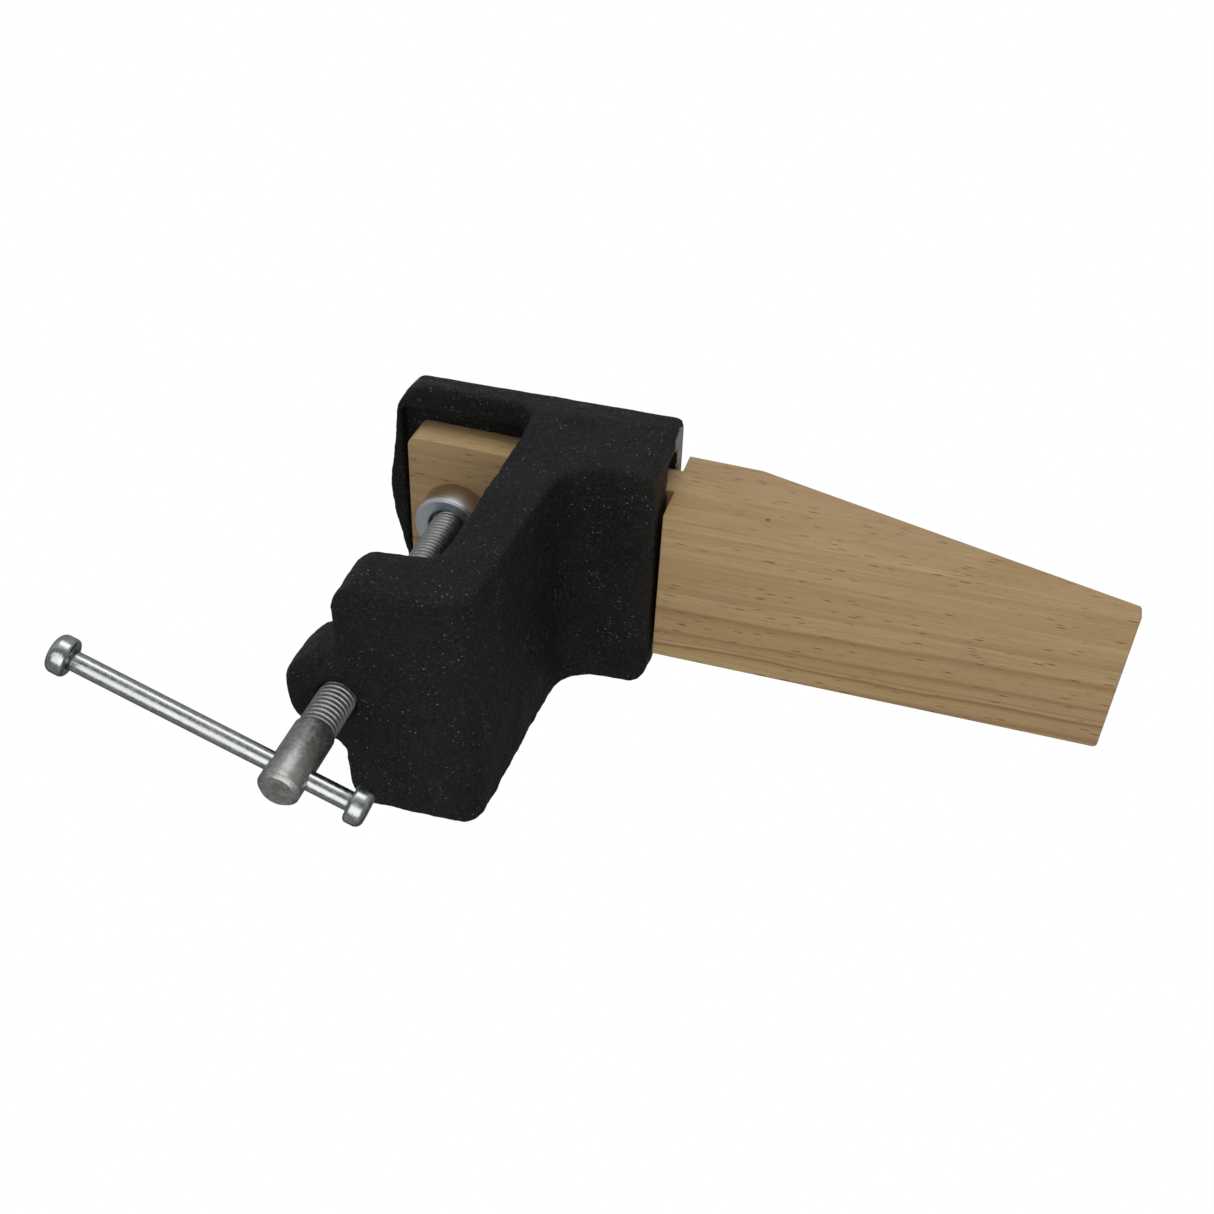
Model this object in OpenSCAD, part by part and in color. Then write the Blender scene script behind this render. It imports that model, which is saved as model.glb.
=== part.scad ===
// Clamp-on bench vise for jewellery work: an anvil plate and C-frame cast in one piece,
// a beech bench pin held in a slot under the anvil, and a clamp screw with a swivel pad.
// X runs along the pin towards its tip, Y across the frame, Z up.
// The origin is where the bench top meets the throat's inner wall, on the middle plane.

/* [Frame casting] */
// Width of the casting, side to side
frame_w = 87.6; // [84:0.2:96]
// Width of the anvil face, a little less because the sides have draft
anvil_w = 84; // [80:0.5:87]
// Distance from the throat wall to the front face
front_x = 48.5; // [46:0.5:54]
// Distance from the throat wall to the middle of the anvil's rear edge
anvil_rear = 56.4; // [55.5:0.1:64]
// Height of the anvil face above the bench top
anvil_z = 20.5; // [19:0.5:24]
// Thickness of the anvil over the pin's slot
anvil_t = 7.5; // [6:0.5:9]
// Height of the side rails' undersides above the bench top
rail_z = 8.8; // [6:0.2:11]
// Depth of the collar below the bench top
collar_depth = 21; // [18:0.5:24]
// Clear height of the throat at the wall
throat_h = 81; // [76:1:90]
// Thickness of the lower arm
arm_t = 19.5; // [17:0.5:23]
// Drop of the lower arm from the wall to its free end
arm_drop = 3.2; // [1:0.2:5]
// Thickness of the web under the collar
web_top_t = 19.6; // [16:0.2:22]
// Thickness of the web at the lower arm
web_low_t = 15.6; // [12:0.2:15.8]
// Distance from the throat wall to the lower arm's free edge
arm_edge = 26; // [24:0.2:30]

/* [Pin slot] */
// Width of the slot
slot_w = 68; // [67:0.5:70]
// Distance from the throat wall to the slot's closed end
slot_rear = 50; // [48:0.5:52]
// Clearance over and under the tongue
slot_play = 0.3; // [0.2:0.1:0.5]

/* [Bench pin] */
// Width of the pin at its shoulders
pin_w = 59.2; // [57:0.2:60]
// Narrowing of the pin per side for each millimetre of length
pin_narrowing = 0.01; // [0:0.002:0.012]
// Length of the pin in front of its shoulders
pin_l = 151.5; // [120:0.5:170]
// Height of the pin's upper face above the bench top
pin_top = 22.4; // [20:0.2:25]
// Depth of the pin's lower face below the bench top
pin_depth = 15; // [12:0.5:18]
// Thickness of the tip
pin_tip_t = 5; // [3:0.5:8]
// Length of the flat stretch before the upper face slopes down
pin_flat_l = 26; // [15:1:40]
// Distance from the throat wall to the tongue's end
tongue_rear = 45; // [40:0.5:46]
// Rounding of the tongue's rear corners
tongue_corner_r = 4; // [2:0.5:6]
// Sideways place of the pin in its slot
pin_shift = 2.8; // [0:0.1:2.8]
// Angle at which the pin sits in its slot, degrees
pin_skew = 1.1; // [0:0.1:1.1]

/* [Clamp screw] */
// Distance from the throat wall to the screw's axis
screw_x = 27.2; // [26:0.1:28]
// Outside diameter of the thread, M12
thread_d = 12; // [11.9:0.01:12]
// Length of thread below the arm when the pad is up
thread_out = 15; // [12:0.5:20]
// Diameter of the head
head_d = 13; // [12.5:0.1:14]
// Length of the head
head_l = 25; // [22:0.5:30]
// Distance from the head's end to the cross hole's axis
hole_up = 8.5; // [7:0.1:12]
// Radius of the round boss that carries the thread
boss_r = 17; // [16:0.1:19]

/* [Swivel pad] */
// Diameter of the pad
pad_d = 24.4; // [22:0.2:26]
// Height of the pad
pad_h = 10.5; // [9.5:0.5:12]
// Diameter of the screw's spigot inside the pad
spigot_d = 8; // [7:0.1:8]

/* [Tommy bar] */
// Diameter of the bar
bar_d = 6; // [5:0.1:6.5]
// Length over both caps
bar_l = 100; // [90:1:110]
// Distance from the screw's axis to the outer face of the nearer cap
bar_short = 25.2; // [20:0.2:40]
// Diameter of the caps
cap_d = 11.8; // [10:0.1:13]
// Length of the caps
cap_l = 6; // [5:0.1:8]
// Direction of the bar's nearer end from +X, degrees
bar_turn = 21.2; // [0:0.1:360]

/* [Hidden] */

$fn = 96;
ARC_STEPS = 8;          // straight pieces in each rounded corner of an outline
EPS = 0.01;             // overlap that joins solids of one node
FAR = 400;              // longer than anything it cuts
RUN_FIT = 0.05;         // radial clearance of a shaft in its bore

arm_top = -throat_h;
arm_low = arm_top - arm_t;
arm_end = -screw_x - boss_r;            // the boss's outermost line
slot_roof = anvil_z - anvil_t;
tongue_t = slot_roof - slot_play;
shoulder_x = front_x + 1.5;             // room for the skewed lower shoulder
split_z = -throat_h / 2;                // above it the anvil's outline holds, below it the arm's

thread_low = arm_low - arm_drop * screw_x / -arm_end - thread_out;
head_low = thread_low - head_l;
hole_z = head_low + hole_up;

spigot_low = -pad_h + 3.4;              // the thread ends in the pad's dish
well_floor = -4;                        // floor of the well in the pad's working face
well_r = 7;
washer_t = 1;
rivet_t = 1.6;
rivet_r = 5.4;
cap_bore = 4;                           // depth of the bar's seat in each cap

// Unit vector along v
function unit(v) = v / norm(v);

// Signed turn from angle a to angle b, in degrees
function turn(a, b) = let (d = b - a) d > 180 ? d - 360 : d < -180 ? d + 360 : d;

// Points of the arc of radius r that rounds the corner b between a and c
function corner_arc(a, b, c, r) =
    let (
        to_a = unit(a - b),
        to_c = unit(c - b),
        half = acos(to_a * to_c) / 2,
        centre = b + unit(to_a + to_c) * r / sin(half),
        from = b + to_a * r / tan(half) - centre,
        to = b + to_c * r / tan(half) - centre,
        start = atan2(from.y, from.x),
        sweep = turn(start, atan2(to.y, to.x))
    )
    [for (i = [0 : ARC_STEPS]) centre + r * [cos(start + sweep * i / ARC_STEPS), sin(start + sweep * i / ARC_STEPS)]];

// Outline through corners given as [x, y, radius]
function rounded(corners) =
    let (n = len(corners), xy = [for (c = corners) [c.x, c.y]])
    [for (i = [0 : n - 1]) each corner_arc(xy[(i + n - 1) % n], xy[i], xy[(i + 1) % n], corners[i].z)];

// Stand an X-Z outline up and extrude it across the frame
module across(width) {
    rotate([90, 0, 0])
        linear_extrude(width, center = true)
            children();
}

// The C of the casting, seen from the side
module c_outline() {
    polygon(rounded([
        [front_x, anvil_z, 1.2],
        [-anvil_rear - 2, anvil_z, 1.2],
        [-anvil_rear - 2, rail_z, 2.5],
        [0, rail_z, 9],
        [0, arm_top, 6],
        [arm_end, arm_top - arm_drop, 8.5],
        [arm_end, arm_low - arm_drop, 4],
        [web_low_t, arm_low, 8],
        [web_top_t, -collar_depth, 14],
        [front_x, -collar_depth, 4]
    ]));
}

// The anvil and collar, seen from above: the rear edge bows out
module anvil_plan() {
    half = frame_w / 2;
    polygon(rounded([
        [front_x, -half, 6],
        [front_x, half, 6],
        [-anvil_rear + 6.7, half, 14],
        [-anvil_rear - 1.1, 0, 75],
        [-anvil_rear + 6.7, -half, 14]
    ]));
}

// The lower arm with its round boss, seen from above
module arm_plan() {
    half = frame_w / 2 + 1;
    blend_r = 8;
    blend_x = -arm_edge - blend_r;
    blend_y = sqrt((boss_r + blend_r) ^ 2 - (blend_x + screw_x) ^ 2);
    polygon(rounded([
        [front_x, -half, 1],
        [front_x, half, 1],
        [-arm_edge, half, 10],
        [-arm_edge, -half, 10]
    ]));
    translate([-screw_x, 0])
        circle(boss_r);
    for (side = [-1, 1])
        difference() {
            polygon([
                [-screw_x, 0],
                [blend_x, side * blend_y],
                [-arm_edge + 1, side * blend_y],
                [-arm_edge + 1, 0]
            ]);
            translate([blend_x, side * blend_y])
                circle(blend_r);
        }
}

// The casting from the front: drafted anvil sides and softened lower edges
module front_outline() {
    low = arm_low - arm_drop;
    half = frame_w / 2;
    polygon(rounded([
        [-anvil_w / 2, anvil_z, 2],
        [anvil_w / 2, anvil_z, 2],
        [half, rail_z, 4],
        [half, split_z, 4],
        [half + 1, low, 5],
        [-half - 1, low, 5],
        [-half, split_z, 4],
        [-half, rail_z, 4]
    ]));
}

module clamp_frame() {
    color("#2a2b2d")
        difference() {
            intersection() {
                across(frame_w + 4)
                    c_outline();
                union() {
                    translate([0, 0, split_z])
                        linear_extrude(FAR)
                            anvil_plan();
                    translate([0, 0, split_z - FAR])
                        linear_extrude(FAR + EPS)
                            arm_plan();
                }
                rotate([90, 0, 90])
                    linear_extrude(FAR, center = true)
                        front_outline();
            }
            // slot for the pin's tongue, open to the front and to the throat
            translate([-slot_rear, -slot_w / 2, -slot_play])
                cube([FAR, slot_w, slot_roof + slot_play]);
            // tapped hole, taken at the thread's outside diameter
            translate([-screw_x, 0, arm_low - FAR / 2])
                cylinder(h = FAR / 2 + arm_t + 5, r = thread_d / 2 + RUN_FIT);
        }
}

// Half the pin's width at a distance x from the throat wall
function pin_half(x) = pin_w / 2 - pin_narrowing * (x - shoulder_x);

// The pin from the side: tongue, two shoulders, flat and slope
module pin_side() {
    tip_x = shoulder_x + pin_l;
    polygon([
        [-tongue_rear, 0],
        [shoulder_x, 0],
        [shoulder_x, -pin_depth],
        [tip_x, -pin_depth],
        [tip_x, -pin_depth + pin_tip_t],
        [shoulder_x + pin_flat_l, pin_top],
        [shoulder_x, pin_top],
        [shoulder_x, tongue_t],
        [-tongue_rear, tongue_t]
    ]);
}

// The pin from above: it narrows towards the tip
module pin_plan() {
    rear = -tongue_rear;
    tip = shoulder_x + pin_l;
    polygon(rounded([
        [rear, -pin_half(rear), tongue_corner_r],
        [tip, -pin_half(tip), 1],
        [tip, pin_half(tip), 1.5],
        [rear, pin_half(rear), tongue_corner_r]
    ]));
}

module bench_pin() {
    color("#d9b98a")
        translate([0, pin_shift, 0])
            rotate([0, 0, pin_skew])
                intersection() {
                    across(FAR)
                        pin_side();
                    linear_extrude(FAR, center = true)
                        pin_plan();
                }
}

module clamp_screw() {
    chamfer = 1.2;
    color("#b9bcbc")
        translate([-screw_x, 0, 0])
            difference() {
                rotate_extrude()
                    polygon([
                        [0, head_low],
                        [head_d / 2 - chamfer, head_low],
                        [head_d / 2, head_low + chamfer],
                        [head_d / 2, thread_low - chamfer / 2],
                        [thread_d / 2, thread_low],
                        [thread_d / 2, spigot_low - chamfer / 2],
                        [thread_d / 2 - chamfer / 2, spigot_low],
                        [spigot_d / 2, spigot_low],
                        [spigot_d / 2, well_floor + washer_t],
                        [rivet_r, well_floor + washer_t],
                        [rivet_r - 1, well_floor + washer_t + rivet_t],
                        [0, well_floor + washer_t + rivet_t]
                    ]);
                // cross hole for the tommy bar
                translate([0, 0, hole_z])
                    rotate([0, 90, bar_turn])
                        cylinder(h = head_d * 2, r = bar_d / 2 + RUN_FIT, center = true);
            }
}

// A cup: flat working face on top, dish below where the thread enters
module swivel_pad() {
    edge = 1;
    dish_r = thread_d / 2 + 0.8;
    color("#c4c8cb")
        translate([-screw_x, 0, 0])
            rotate_extrude()
                polygon([
                    [spigot_d / 2 + RUN_FIT, spigot_low],
                    [dish_r, spigot_low],
                    [pad_d / 2 - 2 * edge, -pad_h + 0.4],
                    [pad_d / 2 - edge, -pad_h],
                    [pad_d / 2, -pad_h + edge],
                    [pad_d / 2, -edge / 2],
                    [pad_d / 2 - edge / 2, 0],
                    [well_r, 0],
                    [well_r, well_floor],
                    [spigot_d / 2 + RUN_FIT, well_floor]
                ]);
}

module pad_washer() {
    color("#9ea3a6")
        translate([-screw_x, 0, well_floor])
            difference() {
                cylinder(h = washer_t, r = well_r - 0.5);
                translate([0, 0, -1])
                    cylinder(h = washer_t + 2, r = spigot_d / 2 + RUN_FIT);
            }
}

// Place a child along the tommy bar: +Z of the child points along the bar's nearer end
module along_bar(distance) {
    translate([-screw_x, 0, hole_z])
        rotate([0, 0, bar_turn])
            translate([distance, 0, 0])
                rotate([0, 90, 0])
                    children();
}

module tommy_bar() {
    seat = cap_l - cap_bore;
    color("#c9cdd0")
        along_bar(bar_short - bar_l + seat)
            cylinder(h = bar_l - 2 * seat, r = bar_d / 2);
}

// A round cap with a softly domed end; its open side faces -Z
module bar_cap() {
    r = cap_d / 2;
    rotate_extrude()
        polygon([
            [bar_d / 2, 0],
            [r - 0.8, 0],
            [r, 0.8],
            [r, cap_l - 2],
            [r - 0.6, cap_l - 0.8],
            [r - 2, cap_l],
            [0, cap_l],
            [0, cap_bore],
            [bar_d / 2, cap_bore]
        ]);
}

module bar_cap_far() {
    color("#d2d6d9")
        along_bar(bar_short - bar_l + cap_l)
            mirror([0, 0, 1])
                bar_cap();
}

module bar_cap_near() {
    color("#d2d6d9")
        along_bar(bar_short - cap_l)
            bar_cap();
}

clamp_frame();
bench_pin();
clamp_screw();
swivel_pad();
pad_washer();
tommy_bar();
bar_cap_far();
bar_cap_near();
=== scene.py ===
"""Looks of the bench vise: a painted casting with a ground anvil, a beech pin and a plated clamp screw."""
import math

import bmesh
import bpy
from mathutils import Matrix, Vector, noise


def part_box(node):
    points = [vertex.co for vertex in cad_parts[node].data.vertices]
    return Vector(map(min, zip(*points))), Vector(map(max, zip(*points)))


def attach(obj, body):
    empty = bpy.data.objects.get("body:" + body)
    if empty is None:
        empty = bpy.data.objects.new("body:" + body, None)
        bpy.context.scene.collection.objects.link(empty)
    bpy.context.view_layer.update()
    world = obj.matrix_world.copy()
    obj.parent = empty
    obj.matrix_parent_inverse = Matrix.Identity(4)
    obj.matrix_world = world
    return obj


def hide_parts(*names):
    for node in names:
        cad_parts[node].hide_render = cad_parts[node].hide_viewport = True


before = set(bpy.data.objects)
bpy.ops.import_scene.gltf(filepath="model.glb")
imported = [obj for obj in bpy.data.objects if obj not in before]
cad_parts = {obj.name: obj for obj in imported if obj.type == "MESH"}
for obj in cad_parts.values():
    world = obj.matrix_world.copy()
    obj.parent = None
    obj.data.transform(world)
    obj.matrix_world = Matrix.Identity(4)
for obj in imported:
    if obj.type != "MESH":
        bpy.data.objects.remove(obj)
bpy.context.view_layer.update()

MM = 0.001

CASTING_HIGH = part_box("clamp_frame")[1]
SCREW_LOW, SCREW_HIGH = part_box("clamp_screw")
PAD_LOW, PAD_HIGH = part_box("swivel_pad")
SCREW_X = (PAD_LOW.x + PAD_HIGH.x) / 2          # the clamp screw's axis
BAR_TURN = math.radians(21.2)                   # the tommy bar's direction from +X

THREAD_R = 6.0 * MM
THREAD_PITCH = 1.75 * MM
SPIGOT_R = 4.0 * MM
HEAD_R = 6.5 * MM
HEAD_L = 25 * MM
HOLE_UP = 8.5 * MM                              # cross hole's axis above the head's end
BAR_R = 3.0 * MM
BAR_NEAR = 25.2 * MM                            # outer face of the near cap, from the screw's axis
BAR_FAR = BAR_NEAR - 100 * MM                   # outer face of the far cap
CAP_R = 5.9 * MM
CAP_L = 6 * MM
CAP_BORE = 4 * MM                               # depth of the bar's seat in each cap
DISH_DEPTH = 3.4 * MM                           # recess under the pad, round the screw
WELL_DEPTH = 4 * MM                             # recess on top of the pad
WELL_R = 7 * MM
RIVET_DEPTH = 3 * MM                            # riveted end's underside, below the pad's top
RIVET_R = 5.4 * MM
SLOT_HALF = 34 * MM
SLOT_ROOF = 13 * MM
SLOT_REAR = -50 * MM
RAIL_Z = 8.8 * MM                               # underside of the anvil's side rails
BARE_CORNER = (-46 * MM, -28 * MM)              # where the paint is worn off the plate's rear corner
KNOT = (83.5 * MM, -25 * MM, -5.5 * MM)         # a small mark on the pin's side
FLOOR_Z = -0.8


# ---------- mesh helpers ----------

def piece(name, mesh):
    """An object of this mesh, in the scene."""
    made = bpy.data.objects.new(name, mesh)
    bpy.context.scene.collection.objects.link(made)
    return made


def from_bmesh(name, bm):
    """An object of this bmesh, with its normals outward."""
    bmesh.ops.recalc_face_normals(bm, faces=bm.faces)
    mesh = bpy.data.meshes.new(name)
    bm.to_mesh(mesh)
    bm.free()
    return piece(name, mesh)


def apply_modifiers(obj):
    """Turns the object's modifiers into plain geometry."""
    graph = bpy.context.evaluated_depsgraph_get()
    graph.update()
    mesh = bpy.data.meshes.new_from_object(obj.evaluated_get(graph))
    obj.modifiers.clear()
    obj.data = mesh
    return obj


def smooth_shading(obj):
    """Shades every face smoothly."""
    obj.data.shade_smooth()
    return obj


def bevelled(obj, width, segments=3, angle=25):
    """Rounds the edges sharper than the angle, given in degrees."""
    bevel = obj.modifiers.new("bevel", "BEVEL")
    bevel.width = width
    bevel.segments = segments
    bevel.limit_method = "ANGLE"
    bevel.angle_limit = math.radians(angle)
    bevel.miter_outer = "MITER_ARC"
    return smooth_shading(apply_modifiers(obj))


def cut(obj, other):
    """Cuts the other object out of this one and removes the other."""
    tool = obj.modifiers.new("boolean", "BOOLEAN")
    tool.operation = "DIFFERENCE"
    tool.solver = "EXACT"
    tool.object = other
    apply_modifiers(obj)
    bpy.data.objects.remove(other)


def join(obj, other):
    """Adds the other object's mesh to this one and removes the other."""
    bm = bmesh.new()
    bm.from_mesh(obj.data)
    bm.from_mesh(other.data)
    bm.to_mesh(obj.data)
    bm.free()
    bpy.data.objects.remove(other)


def lathe(name, profile, steps=128, ring=False):
    """A solid of revolution about Z from (radius, height) points, from axis to axis or as a closed ring."""
    bm = bmesh.new()
    rings = []
    for radius, height in profile:
        if radius == 0:
            rings.append([bm.verts.new((0, 0, height))])
            continue
        angles = (2 * math.pi * i / steps for i in range(steps))
        rings.append([bm.verts.new((radius * math.cos(a), radius * math.sin(a), height)) for a in angles])
    for low, high in zip(rings, rings[1:] + (rings[:1] if ring else [])):
        for i in range(steps):
            j = (i + 1) % steps
            corners = [low[i % len(low)], low[j % len(low)], high[j % len(high)], high[i % len(high)]]
            bm.faces.new(list(dict.fromkeys(corners)))
    return from_bmesh(name, bm)


def move(obj, matrix):
    """Moves the mesh itself, so that the object stays at the origin."""
    obj.data.transform(matrix)


def arc(centre, radius, start, end, count=6):
    """Points of an arc in a lathe's profile, with the angles in degrees."""
    angles = [math.radians(start + (end - start) * i / count) for i in range(count + 1)]
    return [(centre[0] + radius * math.cos(a), centre[1] + radius * math.sin(a)) for a in angles]


# ---------- materials ----------

class Shader:
    """A material with one Principled shader, and short ways to build its nodes."""

    def __init__(self, name):
        self.material = bpy.data.materials.new(name)
        self.material.use_nodes = True
        self.tree = self.material.node_tree
        self.surface = self.tree.nodes["Principled BSDF"]
        self.place = self.node("ShaderNodeTexCoord").outputs["Object"]
        self.xyz = self.node("ShaderNodeSeparateXYZ", Vector=self.place).outputs

    def node(self, kind, inputs=None, **sockets):
        """A node with these inputs: each is a value or another node's output."""
        made = self.tree.nodes.new(kind)
        for key, value in {**(inputs or {}), **sockets}.items():
            self.feed(made.inputs[key], value)
        return made

    def feed(self, socket, value):
        """Links an output to a socket, or sets the socket's own value."""
        if isinstance(value, bpy.types.NodeSocket):
            self.tree.links.new(value, socket)
        else:
            socket.default_value = value

    def set(self, **sockets):
        """Feeds the shader's inputs; underscores stand for the spaces in their names."""
        for name, value in sockets.items():
            self.feed(self.surface.inputs[name.replace("_", " ")], value)

    def cells(self, x, y=None, z=None, turn=(0, 0, 0)):
        """Coordinates in which one unit is x by y by z millimetres of the object."""
        sizes = (x, y or x, z or x)
        mapping = self.node("ShaderNodeMapping", Vector=self.place)
        mapping.inputs["Rotation"].default_value = turn
        mapping.inputs["Scale"].default_value = [1 / (size * MM) for size in sizes]
        return mapping.outputs["Vector"]

    def noise(self, where, detail=3.0, rough=0.55, warp=0.0):
        """Soft noise from about 0.3 to 0.7, with cells of one unit."""
        made = self.node("ShaderNodeTexNoise", Vector=where, Scale=1.0, Detail=detail, Roughness=rough)
        made.inputs["Distortion"].default_value = warp
        return made.outputs["Fac"]

    def spots(self, where):
        """Distance from, and random colour of, the nearest of scattered points."""
        made = self.node("ShaderNodeTexVoronoi", Vector=where, Scale=1.0)
        return made.outputs["Distance"], made.outputs["Color"]

    def part(self, colour):
        """One random number out of a random colour."""
        return self.node("ShaderNodeSeparateColor", Color=colour).outputs[0]

    def line(self, x):
        """Coordinates that change along one direction only."""
        return self.node("ShaderNodeCombineXYZ", X=x).outputs[0]

    def distance(self, where, point):
        """Distance from these coordinates to a fixed point."""
        made = self.node("ShaderNodeVectorMath", {0: where, 1: point})
        made.operation = "DISTANCE"
        return made.outputs["Value"]

    def screw_radius(self):
        """Distance from the clamp screw's axis."""
        x, y, _ = self.xyz
        flat = self.node("ShaderNodeCombineXYZ", X=x, Y=y).outputs[0]
        return self.distance(flat, (SCREW_X, 0, 0))

    def math(self, operation, *values):
        """A sum, product or other function of one or two values."""
        made = self.tree.nodes.new("ShaderNodeMath")
        made.operation = operation
        for socket, value in zip(made.inputs, values):
            self.feed(socket, value)
        return made.outputs[0]

    def step(self, value, start, end, low=0.0, high=1.0):
        """Runs smoothly from low to high while the value goes from start to end."""
        made = self.node("ShaderNodeMapRange", Value=value)
        made.interpolation_type = "SMOOTHSTEP"
        for name, number in (("From Min", start), ("From Max", end), ("To Min", low), ("To Max", high)):
            self.feed(made.inputs[name], number)
        return made.outputs["Result"]

    def mix(self, factor, first, second):
        """A colour between two colours."""
        made = self.tree.nodes.new("ShaderNodeMix")
        made.data_type = "RGBA"
        for index, value in ((0, factor), (6, first), (7, second)):
            if isinstance(value, tuple):
                value = (*value, 1)
            self.feed(made.inputs[index], value)
        return made.outputs[2]

    def bump(self, height, depth, under=None):
        """A normal that follows the height, at this depth in millimetres."""
        made = self.node("ShaderNodeBump", Height=height, Distance=depth * MM)
        if under:
            self.feed(made.inputs["Normal"], under)
        return made.outputs["Normal"]


def casting_material():
    """Black textured paint over cast iron, with the anvil's face and front edge ground bright."""
    s = Shader("painted_casting")
    x, y, z = s.xyz
    grain = s.noise(s.cells(0.8), detail=4, rough=0.75)
    lumps = s.noise(s.cells(2.2), detail=3)
    cloud = s.noise(s.cells(22), detail=4, warp=0.6)
    glint_patches = s.noise(s.cells(9), detail=3)

    # the paint: near black, a little browner in clouds, with fine pale specks painted on in patches as
    # glints of the textured paint
    paint = s.mix(s.step(cloud, 0.35, 0.7), (0.0035, 0.0042, 0.0052), (0.0095, 0.0094, 0.0084))
    paint = s.mix(s.step(grain, 0.5, 0.66), paint, (0.034, 0.036, 0.038))
    distance, random = s.spots(s.cells(0.85))
    pick = s.part(random)
    # pale specks: painted glints of the paint's sparkle, where the patch noise is high
    glint_speck = s.math("MULTIPLY", s.step(distance, 0.26, 0.12), s.step(pick, 0.74, 0.99))
    glint_speck = s.math("MULTIPLY", glint_speck, s.step(glint_patches, 0.38, 0.6))
    paint = s.mix(glint_speck, paint, (0.6, 0.62, 0.64))

    # ground steel: fine lines across the frame, a few deeper scratches and faint stains
    lines = s.noise(s.cells(0.12, 9, 0.12), detail=3, rough=0.65)
    scratches = s.noise(s.cells(2.2, 0.25, 3, turn=(0, 0, 0.5)), detail=2)
    stain = s.noise(s.cells(14), detail=5, warp=0.8)
    steel = s.mix(s.step(lines, 0.3, 0.7), (0.42, 0.43, 0.43), (0.66, 0.67, 0.67))
    steel = s.mix(s.step(scratches, 0.66, 0.74), steel, (0.8, 0.8, 0.79))
    steel = s.mix(s.step(stain, 0.6, 0.75, 0, 0.5), steel, (0.3, 0.26, 0.21))

    # where the grinding reached, with an edge that wanders a little
    wander = s.math("MULTIPLY", s.math("SUBTRACT", lumps, 0.5), 1.6 * MM)
    face = s.step(s.math("ADD", z, wander), CASTING_HIGH.z - 0.7 * MM, CASTING_HIGH.z - 0.4 * MM)
    front = s.step(s.math("ADD", x, wander), CASTING_HIGH.x - 0.6 * MM, CASTING_HIGH.x - 0.3 * MM)
    front = s.math("MULTIPLY", front, s.step(z, RAIL_Z - 0.6 * MM, RAIL_Z + 0.2 * MM))
    corner_x, corner_y = BARE_CORNER
    rear = s.step(s.math("ADD", z, wander), CASTING_HIGH.z - 4.2 * MM, CASTING_HIGH.z - 3.6 * MM)
    rear = s.math("MULTIPLY", rear, s.step(x, corner_x, corner_x - 1 * MM))
    rear = s.math("MULTIPLY", rear, s.step(y, corner_y, corner_y - 2 * MM))
    ground = s.math("MAXIMUM", face, s.math("MAXIMUM", front, rear))

    rough_paint = s.step(lumps, 0.3, 0.7, 0.55, 0.42)
    rough_steel = s.step(lines, 0.3, 0.7, 0.24, 0.4)
    change = s.math("SUBTRACT", rough_steel, rough_paint)
    rough = s.math("ADD", rough_paint, s.math("MULTIPLY", ground, change))
    s.set(Base_Color=s.mix(ground, paint, steel), Metallic=ground, Roughness=rough, Specular_IOR_Level=0.25)
    relief = s.math("ADD", grain, s.math("MULTIPLY", lumps, 1.5))
    relief = s.math("MULTIPLY", relief, s.step(ground, 0, 1, 1, 0.04))
    s.set(Normal=s.bump(relief, 0.8, s.bump(lines, 0.004)))
    return s.material


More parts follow.
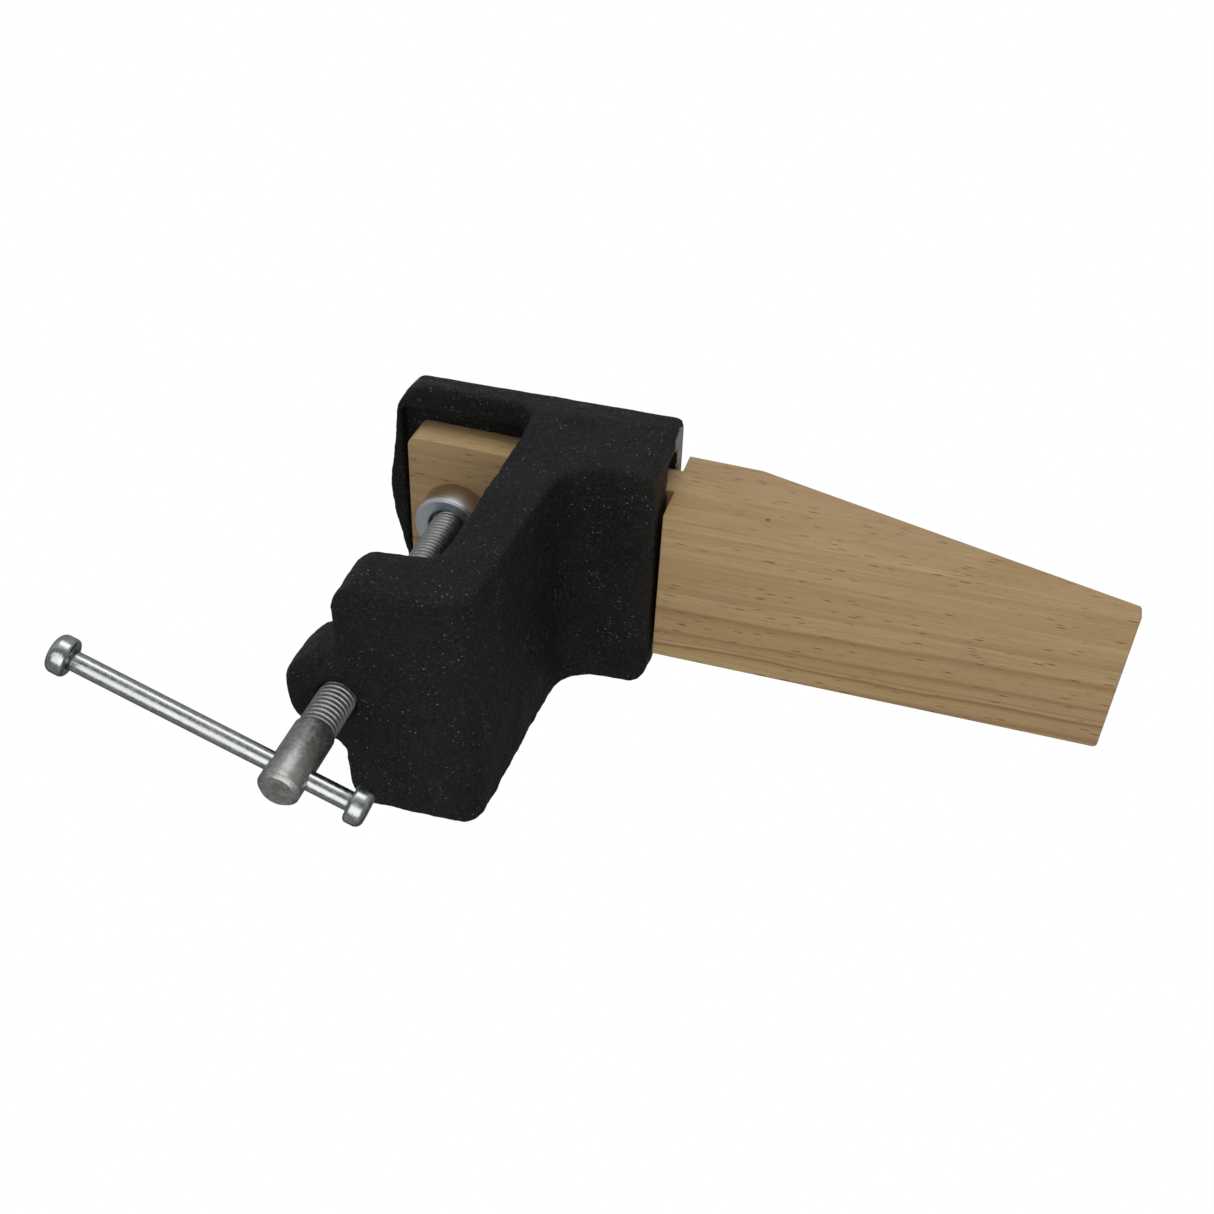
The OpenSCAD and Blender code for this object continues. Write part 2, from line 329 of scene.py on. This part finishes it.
def beech_material():
    """Planed beech with its grain along X: soft bands, a few darker streaks and short dark flecks."""
    s = Shader("beech")
    x, y, _ = s.xyz
    bands = s.noise(s.cells(260, 9, 13), detail=3, warp=0.3)
    fine = s.noise(s.cells(34, 0.7, 0.7), detail=4, rough=0.7)
    pores = s.noise(s.cells(2.4, 0.16, 0.16), detail=2)
    blush = s.noise(s.cells(90, 28, 28), detail=2)

    wood = s.mix(s.step(bands, 0.36, 0.64), (0.49, 0.335, 0.155), (0.59, 0.42, 0.21))
    wood = s.mix(s.step(blush, 0.4, 0.66, 0, 0.6), wood, (0.54, 0.36, 0.2))
    wood = s.mix(s.step(fine, 0.35, 0.7, 0, 0.5), wood, (0.37, 0.235, 0.112))

    # late-wood lines, stronger towards the +Y edge and drifting a little across the pin
    wobble = s.math("MULTIPLY", s.noise(s.cells(70, 16, 16), detail=2), 5 * MM)
    across = s.math("ADD", s.math("ADD", y, s.math("MULTIPLY", x, 0.02)), wobble)
    rings = s.noise(s.line(s.math("MULTIPLY", across, 1 / (4.5 * MM))), detail=3)
    rings = s.math("MULTIPLY", s.step(rings, 0.5, 0.6), s.step(y, -4 * MM, 16 * MM, 0.2, 0.75))
    wood = s.mix(rings, wood, (0.36, 0.21, 0.1))
    for middle, half, depth in ((31.4, 0.9, 0.85), (29.2, 0.5, 0.5), (17.0, 2.2, 0.35)):
        away = s.math("ABSOLUTE", s.math("SUBTRACT", across, middle * MM))
        wood = s.mix(s.step(away, half * MM, 0.1 * half * MM, 0, depth), wood, (0.3, 0.165, 0.075))

    # ray flecks: short thin dashes along the grain
    distance, random = s.spots(s.cells(10, 1.25, 1.25))
    pick = s.part(random)
    fleck = s.math("MULTIPLY", s.step(distance, 0.24, 0.12), s.step(pick, 0.1, 0.7, 0.1, 0.95))
    wood = s.mix(fleck, wood, (0.24, 0.115, 0.045))
    small, _ = s.spots(s.cells(5, 0.7, 0.7))
    wood = s.mix(s.step(small, 0.24, 0.12, 0, 0.35), wood, (0.33, 0.19, 0.09))

    # the knot mark
    wobbled = s.math("ADD", s.distance(s.place, KNOT), s.math("MULTIPLY", pores, 1.2 * MM))
    wood = s.mix(s.step(wobbled, 1.6 * MM, 1.1 * MM, 0, 0.8), wood, (0.075, 0.06, 0.035))

    rough = s.step(fine, 0.3, 0.7, 0.42, 0.58)
    s.set(Base_Color=wood, Roughness=rough, Specular_IOR_Level=0.35)
    relief = s.math("SUBTRACT", s.math("MULTIPLY", fine, 0.6), s.math("MULTIPLY", fleck, 0.5))
    s.set(Normal=s.bump(s.math("ADD", relief, s.math("MULTIPLY", pores, 0.4)), 0.05))
    return s.material


def zinc_material():
    """Dull zinc plating: mottled grey, with brown stains round the head and painted shade in the thread's
    flanks and roots.
    """
    s = Shader("zinc_steel")
    z = s.xyz["Z"]
    mottle = s.noise(s.cells(1.3), detail=4, rough=0.65)
    cloud = s.noise(s.cells(7), detail=4, warp=0.8)
    pits = s.noise(s.cells(0.25), detail=2)
    zinc = s.mix(s.step(mottle, 0.35, 0.68), (0.36, 0.38, 0.375), (0.5, 0.515, 0.505))
    head_top = SCREW_LOW.z + HEAD_L
    low_part = s.step(z, head_top + 7 * MM, head_top - 1 * MM)
    brown = s.math("MULTIPLY", s.step(cloud, 0.46, 0.66, 0, 0.5), low_part)
    zinc = s.mix(brown, zinc, (0.24, 0.215, 0.15))
    zinc = s.mix(s.step(cloud, 0.4, 0.3, 0, 0.3), zinc, (0.56, 0.59, 0.6))

    # painted shade on the thread's flanks and roots, darker the deeper below the crest
    thread_root_shade = s.step(s.screw_radius(), THREAD_R - 0.25 * MM, THREAD_R - 0.95 * MM)
    on_thread = s.step(z, head_top, head_top + 0.2 * MM)
    zinc = s.mix(s.math("MULTIPLY", s.math("MULTIPLY", thread_root_shade, on_thread), 0.6), zinc, (0.09, 0.085, 0.075))
    s.set(Base_Color=zinc, Metallic=1.0, Roughness=s.step(mottle, 0.3, 0.7, 0.34, 0.46))
    s.set(Normal=s.bump(s.math("ADD", mottle, s.math("MULTIPLY", pits, 0.35)), 0.03))
    return s.material


def pad_material():
    """Satin zinc with fine turning marks round the axis: cool below, with a painted brown reflection of the
    beech pin up the side.
    """
    s = Shader("zinc_pad")
    z = s.xyz["Z"]
    along = s.math("ADD", s.screw_radius(), s.math("MULTIPLY", z, 0.4))
    turned = s.noise(s.line(s.math("MULTIPLY", along, 1 / (0.22 * MM))), detail=2)
    cloud = s.noise(s.cells(5), detail=4, warp=0.5)
    spots = s.noise(s.cells(0.8), detail=3)
    zinc = s.mix(s.step(turned, 0.3, 0.7), (0.62, 0.67, 0.73), (0.8, 0.85, 0.9))
    # painted reflection of the beech pin: brown up the side, above the pad's lower edge
    zinc = s.mix(s.step(z, PAD_LOW.z + 1.2 * MM, PAD_LOW.z + 4 * MM, 0, 0.8), zinc, (0.4, 0.33, 0.24))
    zinc = s.mix(s.step(spots, 0.68, 0.76, 0, 0.7), zinc, (0.16, 0.15, 0.13))
    s.set(Base_Color=zinc, Metallic=1.0, Roughness=s.step(cloud, 0.3, 0.7, 0.3, 0.45))
    s.set(Normal=s.bump(turned, 0.012, s.bump(spots, 0.02)))
    return s.material


def bright_material():
    """Bright plating with faint lengthwise drawing marks, rub marks and small pits."""
    s = Shader("bright_steel")
    drawn = s.noise(s.cells(24, 0.18, 0.18, turn=(0, 0, -BAR_TURN)), detail=3, rough=0.6)
    rubbed = s.noise(s.cells(1.6), detail=4, rough=0.7)
    worn = s.noise(s.cells(17), detail=3, warp=0.5)
    pits, _ = s.spots(s.cells(2.6))
    plate = s.mix(s.step(rubbed, 0.35, 0.7), (0.37, 0.39, 0.395), (0.52, 0.535, 0.535))
    plate = s.mix(s.step(worn, 0.56, 0.7, 0, 0.3), plate, (0.52, 0.51, 0.47))
    plate = s.mix(s.step(pits, 0.09, 0.04, 0, 0.7), plate, (0.2, 0.18, 0.15))
    rough = s.step(s.math("ADD", rubbed, s.math("MULTIPLY", worn, 0.5)), 0.6, 0.95, 0.2, 0.34)
    s.set(Base_Color=plate, Metallic=1.0, Roughness=rough)
    s.set(Normal=s.bump(drawn, 0.008, s.bump(rubbed, 0.012)))
    return s.material


MATERIALS = {
    "painted_casting": casting_material(),
    "beech": beech_material(),
    "zinc_steel": zinc_material(),
    "zinc_pad": pad_material(),
    "bright_steel": bright_material(),
}


def dress(obj, slot):
    """Gives the object the material of this slot."""
    obj.data.materials.clear()
    obj.data.materials.append(MATERIALS[slot])


def stand_for(obj, node, body, slot):
    """Lets a piece take a CAD node's place."""
    dress(obj, slot)
    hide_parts(node)
    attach(obj, body)


# ---------- the pieces ----------

def cast_roughness(point):
    """How far sand casting moves a point of the skin: broad waves and small lumps."""
    broad = noise.noise(point / (17 * MM)) * 0.6
    small = noise.noise(point / (4.5 * MM) + Vector((7, 3, 5))) * 0.3
    pebble = noise.noise(point / (1.7 * MM) + Vector((2, 9, 4))) * 0.17
    return (broad + small + pebble) * MM


def machined(point):
    """From 0 on the raw casting to 1 where a cutter or grinder left it true."""
    above_edge = (point.z - RAIL_Z) / (3 * MM)
    if abs(point.y) < SLOT_HALF + 1 * MM and point.x > SLOT_REAR - 1 * MM and point.z < SLOT_ROOF + 1 * MM:
        return max(0, min(1, above_edge))
    if Vector((point.x - SCREW_X, point.y)).length < THREAD_R + 1.2 * MM:
        return 1
    top = (point.z - CASTING_HIGH.z + 2 * MM) / (1.6 * MM)
    front = (point.x - CASTING_HIGH.x + 2 * MM) / (1.6 * MM)
    return max(0, min(1, max(top, front if point.z > RAIL_Z else 0)))


def make_casting():
    """The C-frame with its anvil: the CAD shape with soft cast edges and an uneven skin."""
    casting = piece("casting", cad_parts["clamp_frame"].data.copy())
    remesh = casting.modifiers.new("remesh", "REMESH")
    remesh.mode = "VOXEL"
    remesh.voxel_size = 0.7 * MM
    apply_modifiers(casting)
    cast = casting.vertex_groups.new(name="cast")
    for vertex in casting.data.vertices:
        cast.add([vertex.index], 1 - machined(vertex.co), "REPLACE")
    for group, rounds in (("", 4), ("cast", 30)):
        soften = casting.modifiers.new("soften", "SMOOTH")
        soften.factor = 0.5
        soften.iterations = rounds
        soften.vertex_group = group
    apply_modifiers(casting)
    casting.vertex_groups.clear()
    places = [vertex.co.copy() for vertex in casting.data.vertices]
    normals = [vertex.normal.copy() for vertex in casting.data.vertices]
    for i, (place, normal) in enumerate(zip(places, normals)):
        places[i] = place + normal * cast_roughness(place) * (1 - machined(place))
    casting.data.vertices.foreach_set("co", [value for place in places for value in place])
    casting.data.update()
    smooth_shading(casting)
    stand_for(casting, "clamp_frame", "frame", "painted_casting")


def make_pin():
    """The beech wedge with its tongue: flat planed faces and slightly broken edges."""
    bm = bmesh.new()
    bm.from_mesh(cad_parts["bench_pin"].data)
    bmesh.ops.remove_doubles(bm, verts=bm.verts, dist=0.01 * MM)
    bmesh.ops.dissolve_limit(bm, angle_limit=math.radians(1), verts=bm.verts, edges=bm.edges)
    pin = from_bmesh("pin", bm)
    bevelled(pin, 0.45 * MM, segments=3, angle=12)
    stand_for(pin, "bench_pin", "pin", "beech")


def thread_radius(turn):
    """Radius of the metric thread at this part of its pitch: 0 is the crest, 0.5 the root."""
    crest, root = 1 / 8, 1 / 4
    from_crest = 1 - abs(turn % 1 - 0.5) * 2
    depth = max(0, min(1, (from_crest - crest) / (1 - crest - root)))
    return THREAD_R - 0.6134 * THREAD_PITCH * depth


def thread_solid(low, high, steps=72, rows=12):
    """A right-hand thread about Z: rows of vertices that climb one pitch in each turn."""
    chamfer = 1.1 * MM
    bm = bmesh.new()
    grid = []
    for k in range(-rows, int((high - low) / THREAD_PITCH * rows) + rows):
        ring = []
        for i in range(steps):
            height = low + (k / rows + i / steps) * THREAD_PITCH
            height = max(low, min(high, height))
            end = THREAD_R - chamfer + min(height - low, high - height) * 1.2
            radius = min(thread_radius(k / rows), end)
            angle = 2 * math.pi * i / steps
            ring.append(bm.verts.new((radius * math.cos(angle), radius * math.sin(angle), height)))
        grid.append(ring)
    for k in range(len(grid) - 1):
        for i in range(steps - 1):
            bm.faces.new([grid[k][i], grid[k][i + 1], grid[k + 1][i + 1], grid[k + 1][i]])
        if k + rows + 1 < len(grid):
            # the last column of a row meets the first column one pitch further up
            seam = [grid[k][-1], grid[k + rows][0], grid[k + rows + 1][0], grid[k + 1][-1]]
            bm.faces.new(seam)
    bmesh.ops.remove_doubles(bm, verts=bm.verts, dist=0.001 * MM)
    bmesh.ops.dissolve_degenerate(bm, dist=0.001 * MM, edges=bm.edges)
    bmesh.ops.holes_fill(bm, edges=[e for e in bm.edges if e.is_boundary])
    return from_bmesh("thread", bm)


def make_screw():
    """The clamp screw: head with its cross hole, thread, and the spigot riveted into the pad."""
    low = SCREW_LOW.z
    head_top = low + HEAD_L
    thread_top = PAD_LOW.z + DISH_DEPTH
    washer_top = PAD_HIGH.z - RIVET_DEPTH
    chamfer = 1.2 * MM
    core_r = THREAD_R - 1.4 * MM
    screw = lathe("screw", [
        (0, low),
        (HEAD_R - chamfer, low),
        (HEAD_R, low + chamfer),
        (HEAD_R, head_top - chamfer / 2),
        (HEAD_R - chamfer * 0.8, head_top),
        (core_r, head_top),
        (core_r, thread_top - 1 * MM),
        (SPIGOT_R, thread_top),
        (SPIGOT_R, washer_top),
        (RIVET_R, washer_top),
        (RIVET_R - 1 * MM, SCREW_HIGH.z),
        (0, SCREW_HIGH.z),
    ])
    hole = lathe("hole", [
        (0, -2 * HEAD_R),
        (BAR_R + 0.05 * MM, -2 * HEAD_R),
        (BAR_R + 0.05 * MM, 2 * HEAD_R),
        (0, 2 * HEAD_R),
    ], steps=64)
    aim = Matrix.Rotation(BAR_TURN, 4, "Z") @ Matrix.Rotation(math.pi / 2, 4, "Y")
    move(hole, Matrix.Translation((0, 0, low + HOLE_UP)) @ aim)
    cut(screw, hole)
    bevelled(screw, 0.25 * MM, segments=2, angle=30)
    join(screw, thread_solid(head_top - 0.4 * MM, thread_top))
    move(screw, Matrix.Translation((SCREW_X, 0, 0)))
    stand_for(smooth_shading(screw), "clamp_screw", "screw", "zinc_steel")


def make_pad():
    """The swivel pad: a turned disc with a recess below, round the screw, and a well above."""
    low, high = PAD_LOW.z, PAD_HIGH.z
    radius = (PAD_HIGH.x - PAD_LOW.x) / 2
    bore = SPIGOT_R + 0.05 * MM
    well_floor = high - WELL_DEPTH
    dish = [(6.6, 3.4), (6.7, 2.2), (6.9, 1.0), (7.4, 0.6), (8.6, 0.4), (10.4, 0.2)]
    pad = lathe("pad", [
        (bore, low + DISH_DEPTH),
        *[(r * MM, low + z * MM) for r, z in dish],
        (radius - 1.1 * MM, low),
        (radius - 0.7 * MM, low + 0.05 * MM),
        (radius, low + 0.9 * MM),
        (radius, high - 0.5 * MM),
        (radius - 0.5 * MM, high),
        (WELL_R, high),
        (WELL_R, well_floor),
        (bore, well_floor),
    ], ring=True)
    bevelled(pad, 0.12 * MM, segments=2, angle=20)
    move(pad, Matrix.Translation((SCREW_X, 0, 0)))
    stand_for(pad, "swivel_pad", "pad", "zinc_pad")


def along_bar(distance, flip=False):
    """Places a lathe on the tommy bar: its +Z runs along the bar, towards the near end unless flipped."""
    tip = math.pi / 2 * (-1 if flip else 1)
    place = Matrix.Translation((SCREW_X, 0, SCREW_LOW.z + HOLE_UP)) @ Matrix.Rotation(BAR_TURN, 4, "Z")
    return place @ Matrix.Translation((distance, 0, 0)) @ Matrix.Rotation(tip, 4, "Y")


def make_bar():
    """The plain round bar, with its ends seated in the caps."""
    seat = CAP_L - CAP_BORE
    length = BAR_NEAR - BAR_FAR - 2 * seat
    bar = lathe("bar", [
        (0, 0),
        (BAR_R - 0.3 * MM, 0),
        (BAR_R, 0.3 * MM),
        *[(BAR_R, length * i / 12) for i in range(1, 12)],
        (BAR_R, length - 0.3 * MM),
        (BAR_R - 0.3 * MM, length),
        (0, length),
    ])
    move(smooth_shading(bar), along_bar(BAR_FAR + seat))
    stand_for(bar, "tommy_bar", "bar", "bright_steel")


def make_cap(name, node, place):
    """A cap with a soft shoulder and rim, a groove inside the rim and the bar's peened end as a dome."""
    cap = lathe(name, [
        (0, CAP_BORE),
        (BAR_R, CAP_BORE),
        (BAR_R, 0),
        (CAP_R - 1.4 * MM, 0),
        *arc((CAP_R - 1.4 * MM, 1.4 * MM), 1.4 * MM, -80, 0, 8),
        *arc((CAP_R - 2.4 * MM, CAP_L - 2.4 * MM), 2.4 * MM, 0, 78, 12),
        (CAP_R - 2.6 * MM, CAP_L - 0.1 * MM),
        (CAP_R - 3.0 * MM, CAP_L - 0.35 * MM),
        (CAP_R - 3.4 * MM, CAP_L - 0.4 * MM),
        (1.9 * MM, CAP_L - 0.2 * MM),
        (1.0 * MM, CAP_L - 0.03 * MM),
        (0, CAP_L),
    ])
    move(smooth_shading(cap), place)
    stand_for(cap, node, "bar", "bright_steel")


def make_pieces():
    """Every piece that takes a CAD node's place, and the washer, which keeps its CAD shape."""
    make_casting()
    make_pin()
    make_screw()
    make_pad()
    make_bar()
    make_cap("cap_near", "bar_cap_near", along_bar(BAR_NEAR - CAP_L))
    make_cap("cap_far", "bar_cap_far", along_bar(BAR_FAR + CAP_L, flip=True))
    dress(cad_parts["pad_washer"], "zinc_pad")


make_pieces()


# ---------- camera, light and floor ----------

def place_camera():
    """The photograph's view: from below and in front, rolled so that the vise lies on its side."""
    azimuth, elevation, roll = (math.radians(angle) for angle in (17.95, -48.8, 24.98))
    target = Vector((32.9, 16.1, -15.6)) * MM
    distance = 500 * MM
    forward = Vector((
        -math.sin(azimuth) * math.cos(elevation),
        math.cos(azimuth) * math.cos(elevation),
        -math.sin(elevation),
    ))
    level = Vector((math.cos(azimuth), math.sin(azimuth), 0))
    right = Matrix.Rotation(-roll, 3, forward) @ level
    up = right.cross(forward)
    data = bpy.data.cameras.new("camera")
    data.lens = 43.03
    data.sensor_width = 36
    data.clip_start = 0.01
    data.clip_end = 50
    camera = bpy.data.objects.new("camera", data)
    bpy.context.scene.collection.objects.link(camera)
    turn = Matrix((right, up, -forward)).transposed().to_4x4()
    camera.matrix_world = Matrix.Translation(target - forward * distance) @ turn
    bpy.context.scene.camera = camera
    return target, right, up, forward


TARGET, RIGHT, UP, FORWARD = place_camera()


def softbox(name, direction, distance, width, height, watts):
    """A rectangular studio light that faces the vise from this direction."""
    data = bpy.data.lights.new(name, "AREA")
    data.shape = "RECTANGLE"
    data.size = width
    data.size_y = height
    data.energy = watts
    light = bpy.data.objects.new(name, data)
    bpy.context.scene.collection.objects.link(light)
    direction = direction.normalized()
    light.location = TARGET + direction * distance
    light.rotation_mode = "QUATERNION"
    light.rotation_quaternion = direction.to_track_quat("Z", "Y")


def light_studio():
    """A white backdrop for the camera, a dimmer room for the vise, brightest on the camera's side of it,
    and three softboxes."""
    world = bpy.data.worlds.new("studio")
    world.use_nodes = True
    tree = world.node_tree
    tree.nodes.clear()

    def node(kind, **inputs):
        made = tree.nodes.new(kind)
        for key, value in inputs.items():
            socket = made.inputs[key.replace("_", " ")]
            if isinstance(value, bpy.types.NodeSocket):
                tree.links.new(value, socket)
            else:
                socket.default_value = value
        return made

    place = node("ShaderNodeTexCoord").outputs["Generated"]

    def towards(direction, start, end, low, high):
        along = node("ShaderNodeVectorMath")
        along.operation = "DOT_PRODUCT"
        tree.links.new(place, along.inputs[0])
        along.inputs[1].default_value = direction
        ramp = node("ShaderNodeMapRange", Value=along.outputs["Value"])
        ramp.interpolation_type = "SMOOTHSTEP"
        for name, value in (("From Min", start), ("From Max", end), ("To Min", low), ("To Max", high)):
            ramp.inputs[name].default_value = value
        return ramp.outputs["Result"]

    strength = node("ShaderNodeMath")
    tree.links.new(towards(-FORWARD, -0.6, 0.8, 0.1, 0.45), strength.inputs[0])
    tree.links.new(towards(UP, -0.6, 0.9, 0.0, 0.22), strength.inputs[1])
    room = node("ShaderNodeBackground", Color=(1, 1, 1, 1), Strength=strength.outputs[0])
    backdrop = node("ShaderNodeBackground", Color=(1, 1, 1, 1), Strength=1.0)
    seen = node("ShaderNodeLightPath").outputs["Is Camera Ray"]
    both = tree.nodes.new("ShaderNodeMixShader")
    for socket, value in zip(both.inputs, (seen, room.outputs[0], backdrop.outputs[0])):
        tree.links.new(value, socket)
    tree.links.new(both.outputs[0], node("ShaderNodeOutputWorld").inputs["Surface"])
    bpy.context.scene.world = world

    softbox("key", UP * 1.0 - FORWARD * 0.55 + RIGHT * 0.15, 0.8, 0.6, 0.35, 1.4)
    softbox("fill", -FORWARD * 1.0 - RIGHT * 0.5 - UP * 0.25, 1.0, 0.9, 0.7, 6.0)
    softbox("below", Vector((0.1, -0.2, -1)), 0.66, 0.7, 0.5, 2.0)


light_studio()


def make_floor():
    """A plain pale floor, well below the lowest view of the vise."""
    bm = bmesh.new()
    bmesh.ops.create_grid(bm, x_segments=8, y_segments=8, size=3)
    bmesh.ops.translate(bm, verts=bm.verts, vec=(0, 0, FLOOR_Z))
    floor = from_bmesh("floor", bm)
    material = bpy.data.materials.new("pale_floor")
    material.use_nodes = True
    surface = material.node_tree.nodes["Principled BSDF"]
    surface.inputs["Base Color"].default_value = (0.83, 0.83, 0.82, 1)
    surface.inputs["Roughness"].default_value = 0.8
    floor.data.materials.append(material)


make_floor()
bpy.context.scene.view_settings.view_transform = "Standard"
